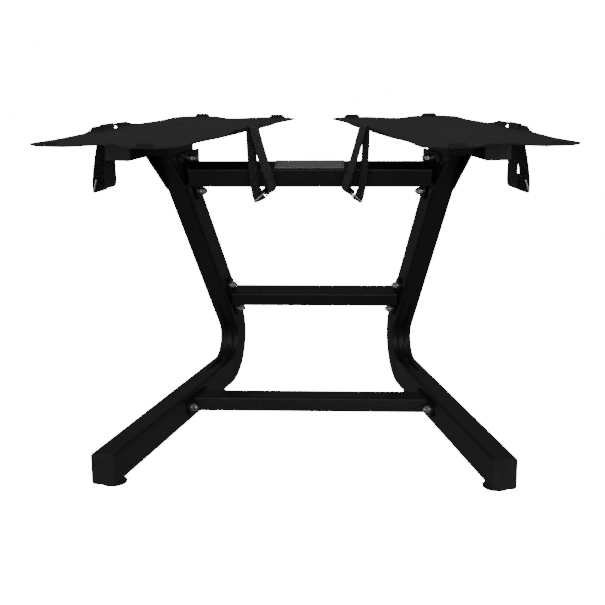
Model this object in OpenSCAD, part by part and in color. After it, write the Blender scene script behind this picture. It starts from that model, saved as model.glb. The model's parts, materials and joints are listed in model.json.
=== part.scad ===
// Floor stand that carries a pair of adjustable dumbbells.
// Two bent side frames, three crossbars and two flat trays with cinch straps.
// Millimetres, +Z up. The user stands on the -Y side. Origin on the floor, below the middle.

/* [Stand] */
// angle each side frame is turned outward, degrees
splay = 13; // [8:0.5:18]
// distance from the middle plane to a side frame's inner face, on the frame line
half_gap = 233.6; // [180:0.5:280]
// front end of each leg, measured forward along the leg
leg_front = 400; // [300:5:480]
// height of the leg tube's underside above the floor
leg_lift = 10; // [8:1:30]
// lean of the uprights from vertical, degrees
lean = 39; // [20:1:50]

/* [Side tube] */
// width of the side tube
tube_w = 43; // [30:1:60]
// height of the side tube
tube_h = 56; // [40:1:80]
// wall of the side tube
tube_t = 2.5; // [1.5:0.5:4]
// outer corner radius of the side tube
tube_r = 4; // [2:0.5:8]
// centreline radius of the rear bend
bend_r = 71; // [60:1:120]

/* [Crossbars] */
// depth of the crossbars, front to back
bar_d = 50; // [40:1:60]
// height of the lower and middle crossbars
bar_h = 30; // [20:1:40]
// height of the top crossbar
top_h = 38; // [20:1:40]
// thickness of the end plates
plate_t = 5; // [3:0.5:8]

/* [Trays] */
// tray angle from straight ahead, degrees
tray_yaw = 14.5; // [8:0.5:25]
// tray tilt, rear edge up, degrees
tray_tilt = 0.6; // [0:0.1:5]
// height of the tray's top face at its middle
tray_z = 595; // [500:1:700]
// half width of the tray between its corners
tray_w = 137; // [100:1:180]
// distance from the middle of the tray to the line of its end tabs
tray_l = 337; // [220:1:380]
// sheet thickness
sheet = 2.5; // [2:0.5:4]

/* [Straps] */
// webbing width
web_w = 50; // [25:1:60]
// webbing thickness
web_t = 1.5; // [1:0.1:2.5]
// radius of the ring wire
wire_r = 1.6; // [1:0.1:2.5]

/* [Hidden] */
$fn = 48;
yc = 36.5;                      // moves the frame line so the origin is under the middle
big = 900;
c_l = [cos(lean), sin(lean)];   // across the upright, towards its rear face, in (y, z)
up = [-c_l[1], c_l[0]];         // along the upright, upward, in (y, z)
bc = [220.4, leg_lift + tube_h / 2 + bend_r];              // bend centre in (y, z)
be = [bc[0] + bend_r * c_l[0], bc[1] + bend_r * c_l[1]];   // end of the bend
low_c = [0, 39];                // crossbar centres in (y, z)
mid_c = [233, 210];
top_c = [-6, 505.5];
mid_tilt = 11.7;
top_tilt = 13.6;
low_b = [[-43, 38], [43, 38]];  // bolt places in (y, z) on the inner face
mid_b = [[209.7, 238.8], [261.3, 175]];
top_b = [[-8, 537], [38, 467]];
tray_c = [249, -47];            // tray centre (x, y from the frame line)
car_w = 50;
car_h = 46;
car_u = 68;                     // carrier's middle, outward from the tray's centre line
car_f = 120;
car_r = 150;
seat = 42;                      // depth of the saddle below the tray sheet
hinge_u = tray_w + 7.42;        // strap hinge, from the tray's centre line
hinge_w = 5.66;                 // and above its top face
strap_out = -10;                // outer strap's place along the tray
strap_in = 15;                  // inner strap's place along the tray
foot_y = [-359, 168];

black = [0.03, 0.03, 0.032];
zinc = [0.75, 0.76, 0.78];

// the right side frame's own axes: x outward, y back along the leg
module frame_at() { translate([half_gap, yc, 0]) rotate([0, 0, splay]) children(); }
// the right tray's own axes: x outward, y back, z up from its top face
module tray_at() {
  translate([tray_c[0], tray_c[1] + yc, tray_z]) rotate([0, 0, tray_yaw])
    rotate([tray_tilt, 0, 0]) children();
}
module lr(left) { if (left) mirror([1, 0, 0]) children(); else children(); }

module rrect(w, h, r) {
  square([w - 2 * r, h], center = true);
  square([w, h - 2 * r], center = true);
  for (x = [-1, 1], y = [-1, 1]) translate([x * (w / 2 - r), y * (h / 2 - r)]) circle(r);
}
module ring2(w, h, t, r) {
  difference() { rrect(w, h, r); rrect(w - 2 * t, h - 2 * t, max(r - t, 0.5)); }
}
// turns a drawing made in (y, z) into a slab from x0, w thick
module slab(x0, w) { translate([x0, 0, 0]) rotate([90, 0, 90]) linear_extrude(w) children(); }

// everything above the saddle's seat, used to trim the upright and gusset
module above_seat() {
  tray_at() translate([-300, -400, -sheet - seat]) cube([600, 800, 300]);
}

// ---- side tube ----
// the side tube's path as solids: g is how far inside the outer surface
module tube_path(g) {
  r = max(tube_r - g, 0.5);
  w = tube_w - 2 * g;
  h = tube_h - 2 * g;
  translate([tube_w / 2, -leg_front + 3, leg_lift + tube_h / 2]) rotate([-90, 0, 0])
    linear_extrude(bc[0] + leg_front - 3) rrect(w, h, r);
  translate([tube_w / 2, bc[0], bc[1]]) rotate([90, 0, 90]) rotate([0, 0, -90])
    rotate_extrude(angle = 90 + lean, $fn = 96) translate([bend_r, 0]) rotate(90) rrect(w, h, r);
  translate([tube_w / 2, be[0], be[1]]) rotate([lean, 0, 0]) translate([0, 0, -1.5])
    linear_extrude(620) rrect(w - 0.1, h - 0.1, r);
}
module side_tube() {
  difference() {
    frame_at() difference() {
      tube_path(0);
      tube_path(tube_t);
      for (p = concat(low_b, mid_b, top_b)) translate([-5, p[0], p[1]]) rotate([0, 90, 0])
        cylinder(r = 4.2, h = tube_w + 10);
      for (y = foot_y) translate([tube_w / 2, y, leg_lift - 5]) cylinder(r = 3.2, h = 12);
    }
    above_seat();
  }
}
// two flat side plates in front of the upright's top
module gusset() {
  face = bc + (bend_r - tube_h / 2) * c_l;
  low = face + (474.5 - face[1]) / up[1] * up;
  high = face + (570 - face[1]) / up[1] * up;
  difference() {
    frame_at() for (x = [0, tube_w - 5]) slab(x, 5)
      polygon([low, [-125, 553.2], [-125, 570], high]);
    above_seat();
  }
}
// a folded box between the upright and the tray
module saddle() {
  tray_at() translate([-6, -64, -sheet - seat]) difference() {
    cube([car_u - car_w / 2 + 6, 120, seat]);
    translate([3, 3, 3]) cube([car_u - car_w / 2, 114, seat]);
  }
}
module carrier() {
  tray_at() translate([car_u, -car_f, -sheet - car_h / 2]) rotate([-90, 0, 0])
    linear_extrude(car_f + car_r) ring2(car_w, car_h, 2, 4);
}
module carrier_caps() {
  tray_at() for (e = [[-car_f - 3, 0], [car_r, 1]]) translate([car_u, e[0], -sheet - car_h / 2]) {
    rotate([-90, 0, 0]) linear_extrude(3) rrect(car_w, car_h, 4);
    translate([0, e[1] == 0 ? 3 : -12, 0]) rotate([-90, 0, 0]) linear_extrude(12)
      ring2(car_w - 4.6, car_h - 4.6, 2, 1.5);
  }
}
module leg_cap() {
  frame_at() translate([tube_w / 2, -leg_front, leg_lift + tube_h / 2]) {
    rotate([-90, 0, 0]) linear_extrude(3) rrect(tube_w, tube_h, tube_r);
    translate([0, 3, 0]) rotate([-90, 0, 0]) linear_extrude(15)
      ring2(tube_w - 5.6, tube_h - 5.6, 2.5, 2);
  }
}
module foot(y) {
  frame_at() translate([tube_w / 2, y, 0]) rotate_extrude($fn = 72)
    polygon([[7.5, 0], [22.8, 0], [23.8, 1], [23.8, 3], [18.5, leg_lift - 0.8], [17.7, leg_lift],
      [3.2, leg_lift], [3.2, 6], [7.5, 6]]);
}
module foot_screws() {
  for (left = [false, true], y = foot_y) lr(left) frame_at() translate([tube_w / 2, y, 0]) {
    translate([0, 0, 2]) cylinder(r = 6.5, h = 4);
    translate([0, 0, 6]) cylinder(r = 3, h = leg_lift + 3);
  }
}

// ---- crossbars ----
module bar(c, h, tilt) {
  difference() {
    translate([-big / 2, c[0] * cos(splay) + yc, c[1]]) rotate([tilt, 0, 0]) rotate([0, 90, 0])
      linear_extrude(big) ring2(h, bar_d, 2, 4);
    for (left = [false, true]) lr(left) frame_at()
      translate([-plate_t, -500, -100]) cube([600, 1000, 900]);
  }
}
module plate_holes(b) {
  for (p = b) translate([-plate_t - 1, p[0], p[1]]) rotate([0, 90, 0])
    cylinder(r = 4.2, h = plate_t + 2);
}
// a round-ended strip of width w between two points
module strip2(a, b, w) {
  d = b - a;
  l = norm(d);
  for (p = [a, b]) translate(p) circle(w / 2);
  translate(a) rotate(atan2(d[1], d[0])) translate([0, -w / 2]) square([l, w]);
}
module end_plate(b, w) {
  d = b[1] - b[0];
  l = norm(d);
  frame_at() translate([-plate_t, b[0][0], b[0][1]]) rotate([atan2(d[1], d[0]), 0, 0])
    difference() {
      union() {
        translate([0, 0, -w / 2]) cube([plate_t, l, w]);
        for (y = [0, l]) translate([0, y, 0]) rotate([0, 90, 0]) cylinder(r = w / 2, h = plate_t);
      }
      for (y = [0, l]) translate([-1, y, 0]) rotate([0, 90, 0]) cylinder(r = 4.2, h = plate_t + 2);
    }
}
module top_plate() {
  difference() {
    frame_at() difference() {
      slab(-plate_t, plate_t) {
        strip2(top_b[0], top_b[1], 34);
        polygon([[34, 500], [34, 570], [-60, 570], [-60, 542], [-25, 537], [-10, 500]]);
      }
      plate_holes(top_b);
    }
    above_seat();
  }
}

// ---- fasteners ----
module each_bolt() {
  frame_at() for (p = concat(low_b, mid_b, top_b)) translate([0, p[0], p[1]])
    rotate([0, 90, 0]) children();
}
module bolts() {
  each_bolt() {
    translate([0, 0, -plate_t - 13]) cylinder(r = 4, h = tube_w + plate_t + 14.6);
    translate([0, 0, tube_w + 1.6]) cylinder(r = 7.5, h = 5.3, $fn = 6);
  }
}
module washers() {
  each_bolt() for (z = [-plate_t - 1.6, tube_w]) translate([0, 0, z])
    difference() { cylinder(r = 8.3, h = 1.6); translate([0, 0, -1]) cylinder(r = 4.2, h = 4); }
}
module nuts() {
  each_bolt() translate([0, 0, -plate_t - 1.6 - 7.5]) difference() {
    union() {
      cylinder(r = 7.5, h = 7.5, $fn = 6);
      translate([0, 0, 6.1]) cylinder(r = 8, h = 1.4);
      translate([0, 0, -1.2]) cylinder(r = 5.6, h = 1.4);
    }
    translate([0, 0, -2]) cylinder(r = 4.05, h = 12);
  }
}
module name_plate() {
  translate([0, top_c[0] * cos(splay) + yc, top_c[1]]) rotate([top_tilt, 0, 0])
    translate([-67, -22, top_h / 2]) difference() {
      cube([134, 44, 1.5]);
      for (x = [8, 126]) translate([x, 22, -1]) cylinder(r = 2, h = 4);
    }
}
module name_rivets() {
  translate([0, top_c[0] * cos(splay) + yc, top_c[1]]) rotate([top_tilt, 0, 0])
    for (x = [-59, 59]) translate([x, 0, top_h / 2]) {
      cylinder(r = 1.95, h = 2);
      translate([0, 0, 1.5]) cylinder(r1 = 4.6, r2 = 3, h = 1.8);
    }
}

// ---- tray ----
// the tray's flat outline, one quarter: long edge, corner, end lobe, waist
quarter = concat(
  [for (i = [0:10]) let (k = i / 10) [tray_w - 6 * (1 - cos(360 * k)) / 2, 125 + 180 * k]],
  [[tray_w - 3, 313], [tray_w - 12, 323], [tray_w - 22, tray_l - 6], [tray_w - 28, tray_l]],
  [for (i = [0:12]) let (k = i / 12) [64 * (1 - k), tray_l - 47 * (1 - cos(180 * k)) / 2]]);
function flip(l, sx, sy) = [for (p = l) [p[0] * sx, p[1] * sy]];
function back(l) = [for (i = [len(l) - 1:-1:0]) l[i]];
outline = concat(quarter, back(flip(quarter, -1, 1)), flip(quarter, -1, -1), back(flip(quarter, 1, -1)));

module flange_section() {
  s = sheet;
  q = cos(45);
  polygon([[tray_w - 8, 0], [tray_w, 0], [tray_w + 11 * q, 11 * q],
    [tray_w + (11 + s) * q, (11 - s) * q], [tray_w + s * q, -s * q],
    [tray_w + s * sin(22.5), -s * cos(22.5)], [tray_w, -s], [tray_w - 8, -s]]);
}
module tray() {
  tray_at() difference() {
    union() {
      translate([0, 0, -sheet]) linear_extrude(sheet) polygon(outline);
      for (k = [0, 1]) mirror([k, 0, 0]) {
        intersection() {
          translate([0, 140, 0]) rotate([90, 0, 0]) linear_extrude(280) flange_section();
          translate([0, 0, -10]) linear_extrude(30)
            polygon([[tray_w - 7, -124], [tray_w - 0.5, -124], [tray_w + 2.5, -92], [tray_w + 7.8, -70],
              [tray_w + 12, -66], [tray_w + 12, 66], [tray_w + 7.8, 70], [tray_w + 2.5, 92],
              [tray_w - 0.5, 124], [tray_w - 7, 124]]);
        }
      }
      for (a = [-87, 87], m = [0, 1]) mirror([0, m, 0]) translate([a, tray_l, -sheet])
        rotate([90, 0, 0]) linear_extrude(sheet)
          polygon([[-17, 0], [17, 0], [17, sheet], [13, 8], [-13, 8], [-17, sheet]]);
    }
    for (k = [0, 1]) mirror([k, 0, 0])
      translate([tray_w, (k == 0 ? strap_out : strap_in) + 34, 0]) rotate([90, 0, 0])
        linear_extrude(64) polygon([[-3, -6], [-3, 4], [3.2, 7.4], [9.5, 1.1], [4, -6]]);
  }
}

// ---- straps ----
// side view of a strap: +a away from the ring leg, b up, hinge at [0, 0]
// a strap is [ring drop, ring's slope as a vector, lean in degrees, place along the tray]
inner = [137, [20.5, 14], 7.2, strap_in];
outer = [127, [4.4, 23.8], -7.9, strap_out];
wr = wire_r + 0.4 + web_t / 2;   // middle radius of the fold around the ring
hr = 2.6 + web_t / 2;            // middle radius of the loop around the flange strip
pr = 4.4 + web_t / 2;            // middle radius of the tail's pocket
function ringA(k) = [-4.5, -k[0]];
function ringB(k) = ringA(k) + k[1];
function pocket(k) = ringB(k) + (k[1][0] > 10 ? [-1.2, 1.8] : [-1.9, 1.4]);
function polar(c, r, l) = [for (a = l) c + r * [cos(a), sin(a)]];
function drop(k, l) = [for (p = l) p + [0, -k[0]]];
// the webbing's middle line: sewn end, ring, ring leg, over the flange strip, long leg, pocket, tail
function line(k) = concat(drop(k, [[-8, 19], [-7.9, 14], [-7.1, 10.5], [-5.6, 6.4]]),
  polar(ringA(k), wr, [60, 30, 0, -30, -60, -90, -120, -150, -180]),
  drop(k, [[-8.6, 7], [-9.8, 17], [-10.3, 37]]), [[-9.6, -75], [-8, -48], [-5.6, -20]],
  polar([0, 0], hr, [180, 150, 120, 90, 60, 30, 0]), k[1][0] > 10 ? inner_end(k) : outer_end(k));
function inner_end(k) = concat([[6, -20], [10, -48], [15, -75]],
  drop(k, [[20.5, 36], [23.2, 25], [23.4, 19], [21.6, 14], [18.4, 10.9]]),
  polar(pocket(k), pr, [-90, -120, -150, -180, -210, -240, -265]),
  drop(k, [[16.6, 21.6], [18, 27], [18, 33], [17, 41]]));
function outer_end(k) = concat([[5.2, -20], [8.2, -48], [11.5, -75]],
  drop(k, [[14.5, 36], [16.8, 20], [17, 12.5], [15.2, 7.6], [11, 5.8], [6, 8.6], [1, 14.4]]),
  polar(pocket(k), pr, [-130, -160, -190, -220, -250, -275]),
  drop(k, [[2.8, 29.4], [6.6, 26.6], [8.6, 21.5]]));
function unit(v) = v / norm(v);
// offsets the middle line by o, with mitred joints
function offs(p, o) = [for (i = [0:len(p) - 1])
  let (t0 = unit(i > 0 ? p[i] - p[i - 1] : p[1] - p[0]),
       t1 = unit(i < len(p) - 1 ? p[i + 1] - p[i] : p[i] - p[i - 1]),
       m = unit(t0 + t1))
    p[i] + o / (m * t1) * [-m[1], m[0]]];
module strap_at(k) {
  side = k[1][0] > 10 ? -1 : 1;
  tray_at() translate([side * hinge_u, k[3], hinge_w]) rotate([90, 0, 0]) mirror([1, 0, 0])
    rotate([0, 0, k[2]]) children();
}
// both straps of a tray put their long leg on the side nearer the middle of the stand
module strap(k) {
  l = line(k);
  strap_at(k) translate([0, 0, -web_w / 2]) difference() {
    linear_extrude(web_w) polygon(concat(offs(l, web_t / 2), back(offs(l, -web_t / 2))));
    translate([0, 0, -1]) cylinder(r = 2.62, h = web_w + 2);
  }
}
// a round wire bent into a rectangle, l by 2 * e between wire centres
module wire_loop(l, e, cr) {
  for (x = [0, l]) translate([x, cr - e, 0]) rotate([-90, 0, 0])
    cylinder(r = wire_r, h = 2 * (e - cr));
  for (y = [-e, e]) translate([cr, y, 0]) rotate([0, 90, 0]) cylinder(r = wire_r, h = l - 2 * cr);
  for (c = [[l - cr, e - cr, 0], [cr, e - cr, 90], [cr, cr - e, 180], [l - cr, cr - e, 270]])
    translate([c[0], c[1], 0]) rotate([0, 0, c[2]]) rotate_extrude(angle = 90)
      translate([cr, 0]) circle(wire_r);
}
module wire_ring(k) {
  strap_at(k) translate(concat(ringA(k), 0)) rotate([0, 0, atan2(k[1][1], k[1][0])])
    rotate([90, 0, 0]) wire_loop(norm(k[1]), web_w / 2 + 1 + wire_r, 2.5);
}

module left_side_tube() { color(black) lr(true) side_tube(); }
module right_side_tube() { color(black) side_tube(); }
module left_gusset() { color(black) lr(true) gusset(); }
module right_gusset() { color(black) gusset(); }
module left_saddle() { color(black) lr(true) saddle(); }
module right_saddle() { color(black) saddle(); }
module left_carrier() { color(black) lr(true) carrier(); }
module right_carrier() { color(black) carrier(); }
module left_carrier_caps() { color([0.05, 0.05, 0.05]) lr(true) carrier_caps(); }
module right_carrier_caps() { color([0.05, 0.05, 0.05]) carrier_caps(); }
module left_leg_cap() { color([0.05, 0.05, 0.05]) lr(true) leg_cap(); }
module right_leg_cap() { color([0.05, 0.05, 0.05]) leg_cap(); }
module left_front_foot() { color([0.04, 0.04, 0.04]) lr(true) foot(foot_y[0]); }
module right_front_foot() { color([0.04, 0.04, 0.04]) foot(foot_y[0]); }
module left_rear_foot() { color([0.04, 0.04, 0.04]) lr(true) foot(foot_y[1]); }
module right_rear_foot() { color([0.04, 0.04, 0.04]) foot(foot_y[1]); }
module lower_bar() { color(black) bar(low_c, bar_h, 0); }
module middle_bar() { color(black) bar(mid_c, bar_h, mid_tilt); }
module top_bar() { color(black) bar(top_c, top_h, top_tilt); }
module left_lower_plate() { color(black) lr(true) end_plate(low_b, 32); }
module right_lower_plate() { color(black) end_plate(low_b, 32); }
module left_middle_plate() { color(black) lr(true) end_plate(mid_b, 32); }
module right_middle_plate() { color(black) end_plate(mid_b, 32); }
module left_top_plate() { color(black) lr(true) top_plate(); }
module right_top_plate() { color(black) top_plate(); }
module left_bolts() { color(zinc) lr(true) bolts(); }
module right_bolts() { color(zinc) bolts(); }
module left_washers() { color(zinc) lr(true) washers(); }
module right_washers() { color(zinc) washers(); }
module left_nuts() { color(zinc) lr(true) nuts(); }
module right_nuts() { color(zinc) nuts(); }
module left_tray() { color(black) lr(true) tray(); }
module right_tray() { color(black) tray(); }
module left_outer_strap() { color([0.02, 0.02, 0.02]) lr(true) strap(outer); }
module right_outer_strap() { color([0.02, 0.02, 0.02]) strap(outer); }
module left_inner_strap() { color([0.02, 0.02, 0.02]) lr(true) strap(inner); }
module right_inner_strap() { color([0.02, 0.02, 0.02]) strap(inner); }
module left_outer_ring() { color(zinc) lr(true) wire_ring(outer); }
module right_outer_ring() { color(zinc) wire_ring(outer); }
module left_inner_ring() { color(zinc) lr(true) wire_ring(inner); }
module right_inner_ring() { color(zinc) wire_ring(inner); }

left_side_tube();
right_side_tube();
left_gusset();
right_gusset();
left_saddle();
right_saddle();
left_carrier();
right_carrier();
left_carrier_caps();
right_carrier_caps();
left_leg_cap();
right_leg_cap();
left_front_foot();
right_front_foot();
left_rear_foot();
right_rear_foot();
foot_screws();
lower_bar();
middle_bar();
top_bar();
left_lower_plate();
right_lower_plate();
left_middle_plate();
right_middle_plate();
left_top_plate();
right_top_plate();
left_bolts();
right_bolts();
left_washers();
right_washers();
left_nuts();
right_nuts();
left_tray();
right_tray();
name_plate();
name_rivets();
left_outer_strap();
right_outer_strap();
left_inner_strap();
right_inner_strap();
left_outer_ring();
right_outer_ring();
left_inner_ring();
right_inner_ring();
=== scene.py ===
import json
import math
import bpy
from mathutils import Matrix, Vector


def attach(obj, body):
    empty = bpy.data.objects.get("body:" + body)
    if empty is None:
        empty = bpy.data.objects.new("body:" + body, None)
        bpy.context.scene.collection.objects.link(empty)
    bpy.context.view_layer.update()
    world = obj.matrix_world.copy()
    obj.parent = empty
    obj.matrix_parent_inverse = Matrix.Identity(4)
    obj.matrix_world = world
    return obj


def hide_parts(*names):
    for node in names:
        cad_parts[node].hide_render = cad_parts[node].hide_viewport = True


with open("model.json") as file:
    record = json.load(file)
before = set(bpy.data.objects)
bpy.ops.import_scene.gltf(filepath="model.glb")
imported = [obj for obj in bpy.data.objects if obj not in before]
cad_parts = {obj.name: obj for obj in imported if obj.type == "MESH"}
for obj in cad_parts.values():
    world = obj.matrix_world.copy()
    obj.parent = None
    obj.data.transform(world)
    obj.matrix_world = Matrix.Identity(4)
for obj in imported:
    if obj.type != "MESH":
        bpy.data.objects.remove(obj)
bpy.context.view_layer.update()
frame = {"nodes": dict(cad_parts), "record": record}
nodes = frame["nodes"]
MM = 0.001


def to_slots(obj, material):
    """Puts one material in every slot of an object."""
    if not obj.data.materials:
        obj.data.materials.append(material)
    for one in obj.material_slots:
        one.material = material


# ---- shader maths ----

class Wire:
    """An output socket, with arithmetic that adds Math nodes."""

    def __init__(self, tree, out):
        self.tree, self.out = tree, out

    def add(self, kind, settings, sockets, out=0):
        """Adds a node of a type with its settings, then the values or links of its sockets."""
        node = self.tree.nodes.new(kind)
        for key, value in settings.items():
            if key == "stops":
                ramp = node.color_ramp
                while len(ramp.elements) < len(value):
                    ramp.elements.new(0.5)
                for element, (place, level) in zip(ramp.elements, value):
                    element.position = place
                    element.color = (level, level, level, 1)
            else:
                setattr(node, key, value)
        for key, value in sockets.items():
            if isinstance(value, Wire):
                self.tree.links.new(value.out, node.inputs[key])
            else:
                node.inputs[key].default_value = value
        return Wire(self.tree, node.outputs[out])

    def sum(self, operation, a, b=0.0):
        return self.add("ShaderNodeMath", {"operation": operation}, {0: a, 1: b})

    def __add__(self, other): return self.sum("ADD", self, other)
    def __radd__(self, other): return self.sum("ADD", other, self)
    def __sub__(self, other): return self.sum("SUBTRACT", self, other)
    def __rsub__(self, other): return self.sum("SUBTRACT", other, self)
    def __mul__(self, other): return self.sum("MULTIPLY", self, other)
    def __rmul__(self, other): return self.sum("MULTIPLY", other, self)
    def __gt__(self, other): return self.sum("GREATER_THAN", self, other)
    def __lt__(self, other): return self.sum("LESS_THAN", self, other)
    def sine(self): return self.sum("SINE", self)
    def size(self): return self.sum("ABSOLUTE", self)

    def noise(self, scale, detail=2.0, stretch=(1, 1, 1)):
        """Noise on this vector, scale in cells to the metre."""
        moved = self.add("ShaderNodeVectorMath", {"operation": "MULTIPLY"}, {0: self, 1: stretch})
        return self.add("ShaderNodeTexNoise", {}, {"Vector": moved, "Scale": scale, "Detail": detail})

    def ramp(self, *stops):
        return self.add("ShaderNodeValToRGB", {"stops": stops}, {0: self})

    def tint(self, low, high):
        """A colour between two, by this amount."""
        return self.add("ShaderNodeMix", {"data_type": "RGBA"},
                        {0: self, 6: (*low, 1), 7: (*high, 1)}, out=2)

    def bump(self, strength, distance, normal=None):
        sockets = {"Height": self, "Strength": strength, "Distance": distance}
        if normal is not None:
            sockets["Normal"] = normal
        return self.add("ShaderNodeBump", {}, sockets)


def new_material(name, uv=False):
    """A material with its shader, and the object's own coordinates as a wire."""
    material = bpy.data.materials.new(name)
    material.use_nodes = True
    tree = material.node_tree
    shader = tree.nodes["Principled BSDF"]
    coordinates = tree.nodes.new("ShaderNodeTexCoord")
    wire = Wire(tree, coordinates.outputs["UV" if uv else "Object"])

    def finish(**values):
        for key, value in values.items():
            socket = shader.inputs[key.replace("_", " ")]
            if isinstance(value, Wire):
                tree.links.new(value.out, socket)
            else:
                socket.default_value = value
        return material
    return wire, finish


def powder_coat(name):
    """Satin black powder coat: fine orange peel, a faint cloud and a few paler specks."""
    at, finish = new_material(name)
    grain = at.noise(1100, 2)
    peel = at.noise(420, 1)
    cloud = at.noise(9, 3)
    speck = at.noise(330, 3).ramp((0.0, 0), (0.66, 0), (0.72, 1), (1.0, 1))
    tone = cloud * 0.55 + grain * 0.25 + speck * 0.35
    edge = at.add("ShaderNodeBevel", {"samples": 4}, {"Radius": 0.0014})
    return finish(
        Base_Color=tone.tint((0.0055, 0.0055, 0.006), (0.017, 0.017, 0.018)),
        Roughness=cloud * 0.14 + grain * 0.08 + 0.34,
        Specular_IOR_Level=0.34,
        Normal=(grain * 0.6 + peel).bump(0.28, 0.0005, edge))


def moulded_plastic():
    at, finish = new_material("moulded_plastic")
    grain = at.noise(900, 3)
    scuff = at.noise(40, 4)
    edge = at.add("ShaderNodeBevel", {"samples": 4}, {"Radius": 0.0016})
    return finish(
        Base_Color=scuff.tint((0.011, 0.011, 0.0115), (0.026, 0.026, 0.027)),
        Roughness=scuff * 0.2 + 0.36,
        Specular_IOR_Level=0.45,
        Normal=grain.bump(0.3, 0.0004, edge))


def foot_rubber():
    at, finish = new_material("foot_rubber")
    grain = at.noise(700, 3)
    dust = at.noise(60, 4)
    return finish(
        Base_Color=dust.tint((0.006, 0.006, 0.006), (0.02, 0.02, 0.019)),
        Roughness=dust * 0.15 + 0.62,
        Specular_IOR_Level=0.3,
        Normal=grain.bump(0.35, 0.0005))


def bright_metal(name, low, high, rough, stretch, scale):
    """Metal with fine marks that run along the axis with the smallest stretch."""
    at, finish = new_material(name)
    marks = at.noise(scale, 3, stretch)
    bloom = at.noise(120, 3)
    edge = at.add("ShaderNodeBevel", {"samples": 4}, {"Radius": 0.0005})
    return finish(
        Base_Color=(marks * 0.6 + bloom * 0.4).tint(low, high),
        Metallic=1.0,
        Roughness=marks * 0.16 + bloom * 0.1 + rough,
        Normal=marks.bump(0.25, 0.0002, edge))


def webbing_material():
    """Woven strap: cross ribs with a fine herringbone of yarns; the map is in millimetres."""
    at, finish = new_material("black_webbing", uv=True)
    parts = at.tree.nodes.new("ShaderNodeSeparateXYZ")
    at.tree.links.new(at.out, parts.inputs[0])
    across, along = Wire(at.tree, parts.outputs[0]), Wire(at.tree, parts.outputs[1])
    rib = (along * (math.pi / 2.3)).sine().size()
    yarn = (across * (2 * math.pi / 1.5) + along * (math.pi / 2.3)).sine()
    selvedge = across.size() > 23.6
    fuzz = at.noise(2.2, 3)
    weave = rib + yarn * 0.22 + selvedge * 0.25
    tone = rib * 0.5 + fuzz * 0.4 + yarn * 0.12
    return finish(
        Base_Color=tone.tint((0.0035, 0.0035, 0.0038), (0.019, 0.019, 0.0195)),
        Roughness=fuzz * 0.2 + 0.6,
        Specular_IOR_Level=0.3,
        Sheen_Weight=0.12,
        Normal=weave.bump(0.75, 0.0006))


coat = powder_coat("satin_black_coat")
plastic = moulded_plastic()
rubber = foot_rubber()
zinc = bright_metal("zinc_plate", (0.42, 0.43, 0.45), (0.8, 0.81, 0.84), 0.2, (1, 1, 1), 500)
chrome = bright_metal("drawn_wire", (0.6, 0.6, 0.62), (0.9, 0.9, 0.92), 0.12, (1, 1, 1), 300)
brushed = bright_metal("brushed_steel", (0.3, 0.3, 0.305), (0.56, 0.56, 0.57), 0.3, (0.02, 1, 1), 1500)
webbing = webbing_material()

FINISHES = {"cap_plastic": plastic, "foot_rubber": rubber, "zinc": zinc, "plate_steel": brushed,
            "ring_steel": chrome, "webbing": webbing, "black_coat": coat}
for part in frame["record"]["subparts"]:
    to_slots(nodes[part["node"]], FINISHES[part["material_slot"]])


# ---- modelling helpers ----

def only(obj):
    """Makes obj the one selected and active object."""
    bpy.ops.object.select_all(action="DESELECT")
    bpy.context.view_layer.objects.active = obj
    obj.select_set(True)


def edit(obj, mode="EDGE"):
    """Enters edit mode with nothing selected."""
    only(obj)
    bpy.ops.object.mode_set(mode="EDIT")
    bpy.ops.mesh.select_mode(type=mode)
    bpy.ops.mesh.select_all(action="DESELECT")


def pick(obj, test, kind="vertices"):
    """Selects just the vertices or edges that pass a test, from edit mode."""
    bpy.ops.mesh.select_all(action="DESELECT")
    bpy.ops.object.mode_set(mode="OBJECT")
    mesh = obj.data
    for one in getattr(mesh, kind):
        if kind == "vertices":
            one.select = test(one.co)
        else:
            one.select = all(test(mesh.vertices[i].co) for i in one.vertices)
    bpy.ops.object.mode_set(mode="EDIT")


def outward(obj):
    """Merges doubles and turns every face of a closed shell outward."""
    only(obj)
    bpy.ops.object.mode_set(mode="EDIT")
    bpy.ops.mesh.select_all(action="SELECT")
    bpy.ops.mesh.remove_doubles(threshold=0.000005)
    bpy.ops.mesh.normals_make_consistent(inside=False)
    bpy.ops.object.mode_set(mode="OBJECT")


def applied(obj, kind, **values):
    """Adds a modifier and applies it."""
    only(obj)
    made = obj.modifiers.new(kind.lower(), kind)
    for key, value in values.items():
        setattr(made, key, value)
    bpy.ops.object.modifier_apply(modifier=made.name)


MIRROR = Matrix.Diagonal((-1, 1, 1, 1))
FRAME_AT = Matrix.Translation((0.2336, 0.0365, 0)) @ Matrix.Rotation(math.radians(13), 4, "Z")
TRAY_AT = (Matrix.Translation((0.249, -0.0105, 0.595)) @ Matrix.Rotation(math.radians(14.5), 4, "Z")
           @ Matrix.Rotation(math.radians(0.6), 4, "X"))

# ---- side tubes ----
TUBE_W, TUBE_H, TUBE_R = 0.043, 0.056, 0.004
LEG_MID = 0.038
LEG_FRONT = 0.397  # from the frame line to the tube's open front end
BEND_R = 0.071
BEND = Vector((0, 0.2204, LEG_MID + BEND_R))
LEAN = math.radians(39)
UP = Vector((0, -math.sin(LEAN), math.cos(LEAN)))
PLEATS = 13
STEPS = PLEATS * 4
GROOVE_LEG, GROOVE_UP = 0.100, 0.088
SEAT_Z = 0.5505


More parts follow.
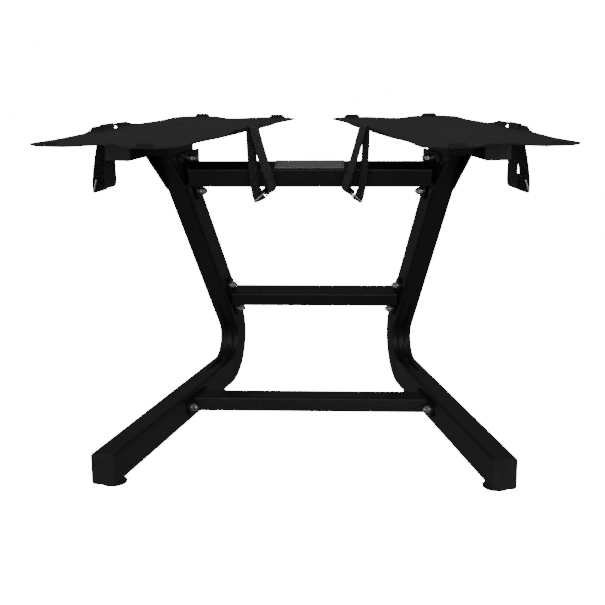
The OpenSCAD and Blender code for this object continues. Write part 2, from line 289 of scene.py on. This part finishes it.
def along_bend(p):
    """A point's distance along the tube's inner face from the bend's start, its distance out from
    the bend's centre side, and its share of the bend, or None where it is on a straight."""
    flat = Vector((p.y - BEND.y, p.z - BEND.z))
    angle = math.atan2(flat.x, -flat.y)
    turn = math.pi / 2 + LEAN
    inner = BEND_R - TUBE_H / 2
    if p.y <= BEND.y and p.z < BEND.z:
        return p.y - BEND.y, BEND.z - p.z, None
    if 0 <= angle <= turn:
        return angle * inner, flat.length, angle / turn
    run = (p - BEND).dot(UP)
    return turn * inner + run, (p - BEND).dot(Vector((0, math.cos(LEAN), math.sin(LEAN)))), None


def side_tube(name):
    """The bent side tube with its pressed groove and the creases on the bend's side walls."""
    bpy.ops.object.select_all(action="DESELECT")
    bpy.ops.mesh.primitive_plane_add(size=1)
    obj = bpy.context.object
    obj.name = obj.data.name = name
    for v in obj.data.vertices:
        v.co = (TUBE_W * (v.co.x + 0.5), -LEG_FRONT, LEG_MID + TUBE_H * v.co.y)
    edit(obj)
    bpy.ops.mesh.select_all(action="SELECT")
    bpy.ops.mesh.bevel(offset=TUBE_R, offset_type="OFFSET", segments=4, affect="VERTICES")
    top = LEG_MID + TUBE_H / 2
    pick(obj, lambda p: p.z > top - 1e-5, "edges")
    bpy.ops.mesh.subdivide(number_cuts=15)
    for x in (0, TUBE_W):
        pick(obj, lambda p: abs(p.x - x) < 1e-5, "edges")
        bpy.ops.mesh.subdivide(number_cuts=5)
    bpy.ops.mesh.select_all(action="SELECT")
    runs = [LEG_FRONT + BEND.y - GROOVE_LEG - 0.01] + [(GROOVE_LEG + 0.01) / 11] * 11
    for run in runs:
        bpy.ops.mesh.extrude_region_move(TRANSFORM_OT_translate={"value": (0, run, 0)})
    bpy.ops.mesh.spin(steps=STEPS, angle=-math.pi / 2 - LEAN, center=BEND, axis=(1, 0, 0))
    for run in [(GROOVE_UP + 0.01) / 10] * 10 + [0.46]:
        bpy.ops.mesh.extrude_region_move(TRANSFORM_OT_translate={"value": UP * run})
    bpy.ops.mesh.select_all(action="SELECT")
    bpy.ops.mesh.bisect(plane_co=(0, 0, SEAT_Z), plane_no=(0, 0, 1), use_fill=True, clear_outer=True)
    bpy.ops.object.mode_set(mode="OBJECT")
    arc = (BEND_R - TUBE_H / 2) * (math.pi / 2 + LEAN)
    for v in obj.data.vertices:
        s, r, share = along_bend(v.co)
        level = (r - (BEND_R - TUBE_H / 2)) / TUBE_H
        if level < 0.02:
            middle = arc / 2
            reach = (middle + GROOVE_LEG) if s < middle else (middle + GROOVE_UP)
            fade = max(0.0, 1 - abs(s - middle) / reach)
            half = 0.0012 + 0.0105 * fade ** 0.75
            cross = max(0.0, 1 - (abs(v.co.x - TUBE_W / 2) / half) ** 2) if fade > 0 else 0.0
            depth = (0.0015 + 0.006 * fade) * cross * min(1.0, fade * 8)
            if share is not None:
                away = (v.co - BEND)
                away.x = 0
                v.co += away.normalized() * depth
            elif s < 0:
                v.co.z -= depth
            else:
                v.co += Vector((0, math.cos(LEAN), math.sin(LEAN))) * depth
        elif share is not None and min(v.co.x, TUBE_W - v.co.x) < 1e-5:
            step = round(share * STEPS) % 4
            crease = (1.0, 0.15, 0.0, 0.15)[step] * 0.0013 * (1 - level) ** 0.6
            v.co.x += crease if v.co.x < TUBE_W / 2 else -crease
    return obj


def placed(obj, matrix, left):
    """Applies a place to a piece's mesh, mirrored for the left side."""
    obj.data.transform((MIRROR if left else Matrix.Identity(4)) @ matrix)
    outward(obj)


def copied(obj, name):
    twin = obj.copy()
    twin.data = obj.data.copy()
    twin.name = twin.data.name = name
    bpy.context.scene.collection.objects.link(twin)
    return twin


right_tube = side_tube("right_side_tube_bent")
left_tube = copied(right_tube, "left_side_tube_bent")
for obj, side in ((right_tube, "right"), (left_tube, "left")):
    placed(obj, FRAME_AT, side == "left")
    only(obj)
    bpy.ops.object.shade_smooth_by_angle(angle=math.radians(28))
    to_slots(obj, coat)
    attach(obj, "stand")
    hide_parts(side + "_side_tube")

# ---- straps ----
WEB_W, WEB_T = 50.0, 1.5
HINGE = Vector((144.42, 0, 5.66))


def arc_points(centre, radius, angles):
    return [(centre[0] + radius * math.cos(math.radians(a)),
             centre[1] + radius * math.sin(math.radians(a))) for a in angles]


def web_line(drop, ring, folded):
    """The webbing's middle line in millimetres: across from the hinge, and up."""
    def low(points):
        return [(a, b - drop) for a, b in points]
    ring_a = (-4.5, -drop)
    ring_b = (ring_a[0] + ring[0], ring_a[1] + ring[1])
    line = low([(-8, 19), (-7.9, 14), (-7.1, 10.5), (-5.6, 6.4)])
    line += arc_points(ring_a, 2.75, range(60, -181, -30))
    line += low([(-8.6, 7), (-9.8, 17), (-10.3, 37)]) + [(-9.6, -75), (-8, -48), (-5.6, -20)]
    line += arc_points((0, 0), 3.35, range(180, -1, -30))
    if folded:
        pocket = (ring_b[0] - 1.2, ring_b[1] + 1.8)
        line += [(6, -20), (10, -48), (15, -75)]
        line += low([(20.5, 36), (23.2, 25), (23.4, 19), (21.6, 14), (18.4, 10.9)])
        line += arc_points(pocket, 5.15, (-90, -120, -150, -180, -210, -240, -265))
        line += low([(16.6, 21.6), (18, 27), (18, 33), (17, 41)])
    else:
        pocket = (ring_b[0] - 1.9, ring_b[1] + 1.4)
        line += [(5.2, -20), (8.2, -48), (11.5, -75)]
        line += low([(14.5, 36), (16.8, 20), (17, 12.5), (15.2, 7.6), (11, 5.8), (6, 8.6), (1, 14.4)])
        line += arc_points(pocket, 5.15, (-130, -160, -190, -220, -250, -275))
        line += low([(2.8, 29.4), (6.6, 26.6), (8.6, 21.5)])
    return line


def strap(name, side, place, lean, line, left):
    """A webbing strap: one edge of the width drawn out along its line, then given its thickness."""
    turn = math.radians(lean)

    def at(point, t):
        a = point[0] * math.cos(turn) - point[1] * math.sin(turn)
        b = point[0] * math.sin(turn) + point[1] * math.cos(turn)
        p = TRAY_AT @ (Vector((side * HINGE.x - a, place + t, HINGE.z + b)) * MM)
        return Vector((-p.x, p.y, p.z)) if left else p

    bpy.ops.object.select_all(action="DESELECT")
    bpy.ops.mesh.primitive_plane_add(size=1)
    obj = bpy.context.object
    obj.name = obj.data.name = name
    for v in obj.data.vertices:
        v.co = at(line[0 if v.co.y < 0 else 1], -WEB_W / 2 if v.co.x < 0 else WEB_W / 2)
    edit(obj)
    end = at(line[1], 0)
    pick(obj, lambda p: (p - end).length < WEB_W * 0.51 * MM
         and abs((p - end).length - WEB_W / 2 * MM) < 1e-6, "edges")
    for before, after in zip(line[1:], line[2:]):
        bpy.ops.mesh.extrude_region_move(
            TRANSFORM_OT_translate={"value": at(after, 0) - at(before, 0)})
    bpy.ops.object.mode_set(mode="OBJECT")
    lengths = [0.0]
    for before, after in zip(line, line[1:]):
        lengths.append(lengths[-1] + math.dist(before, after))
    mapped = obj.data.uv_layers.active or obj.data.uv_layers.new(name="web")
    ends = [(i, t, at(p, t * WEB_W / 2)) for i, p in enumerate(line) for t in (-1, 1)]
    where = {v.index: min(ends, key=lambda e: (e[2] - v.co).length) for v in obj.data.vertices}
    for loop in obj.data.loops:
        i, t, _ = where[loop.vertex_index]
        mapped.data[loop.index].uv = (t * WEB_W / 2, lengths[i])
    applied(obj, "SOLIDIFY", thickness=WEB_T * MM, offset=0, use_even_offset=True)
    applied(obj, "BEVEL", width=0.0004, segments=1, limit_method="ANGLE",
            angle_limit=math.radians(62))
    applied(obj, "SUBSURF", levels=2, render_levels=2, boundary_smooth="PRESERVE_CORNERS")
    only(obj)
    bpy.ops.object.mode_set(mode="EDIT")
    bpy.ops.mesh.select_all(action="SELECT")
    bpy.ops.mesh.normals_make_consistent(inside=False)
    bpy.ops.object.mode_set(mode="OBJECT")
    bpy.ops.object.shade_smooth_by_angle(angle=math.radians(50))
    to_slots(obj, webbing)
    return obj


# kind, side of the tray, place along it, lean in degrees, drop, and the ring's far side from its near
STRAPS = (("outer", 1, -10, -7.9, 127, (4.4, 23.8)),
          ("inner", -1, 15, 7.2, 137, (20.5, 14)))
for left in (True, False):
    for kind, side, place, lean, drop, ring in STRAPS:
        body = f"{'left' if left else 'right'}_{kind}_strap"
        line = web_line(drop, ring, kind == "inner")
        piece = strap(body + "_webbing", side, place, lean, line, left)
        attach(piece, body)
        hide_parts(body)

# ---- camera ----
lens = bpy.data.cameras.new("camera")
camera = bpy.data.objects.new("camera", lens)
bpy.context.scene.collection.objects.link(camera)
bpy.context.scene.camera = camera
lens.sensor_width = 36
lens.lens = 1100 / 605 * lens.sensor_width
lens.clip_end = 50
camera.location = (0.0859, -2.1131, 0.748)
camera.rotation_euler = (math.pi / 2 - 0.229, 0.006, 0.046)

# ---- light and floor ----
BACKDROP_SEEN, BACKDROP_LIGHT = 16.0, 0.12  # strength to the camera, and to everything else
FLOOR_GLOW = 16.0


def lamp(name, place, target, size, power):
    """A soft square lamp that faces a target."""
    light = bpy.data.lights.new(name, "AREA")
    light.size = size
    light.energy = power
    obj = bpy.data.objects.new(name, light)
    bpy.context.scene.collection.objects.link(obj)
    obj.location = place
    obj.rotation_euler = (Vector(target) - Vector(place)).to_track_quat("-Z", "Y").to_euler()


lamp("front_lamp", (0.2, -3.6, 1.0), (0, 0, 0.3), 2.2, 42)
lamp("left_lamp", (-3.0, -1.2, 1.3), (0, 0, 0.3), 1.6, 22)
lamp("right_lamp", (3.0, -1.2, 1.3), (0, 0, 0.3), 1.6, 22)
lamp("top_lamp", (0, 0.6, 3.2), (0, 0, 0.3), 2.4, 5)
world = bpy.data.worlds.new("studio")
bpy.context.scene.world = world
world.use_nodes = True
backdrop = world.node_tree.nodes["Background"]
backdrop.inputs[0].default_value = (1, 1, 1, 1)
path = world.node_tree.nodes.new("ShaderNodeLightPath")
seen = Wire(world.node_tree, path.outputs["Is Camera Ray"]) * BACKDROP_SEEN + BACKDROP_LIGHT
world.node_tree.links.new(seen.out, backdrop.inputs[1])

bpy.ops.object.select_all(action="DESELECT")
bpy.ops.mesh.primitive_plane_add(size=30)
floor = bpy.context.object
floor.name = "floor"
paper, finish_paper = new_material("pale_floor")
to_slots(floor, finish_paper(Base_Color=paper.noise(3, 2).tint((0.9, 0.9, 0.9), (0.94, 0.94, 0.94)),
                             Roughness=0.9, Specular_IOR_Level=0.1,
                             Emission_Color=(1, 1, 1, 1), Emission_Strength=FLOOR_GLOW))
floor.visible_diffuse = False
floor.visible_glossy = False
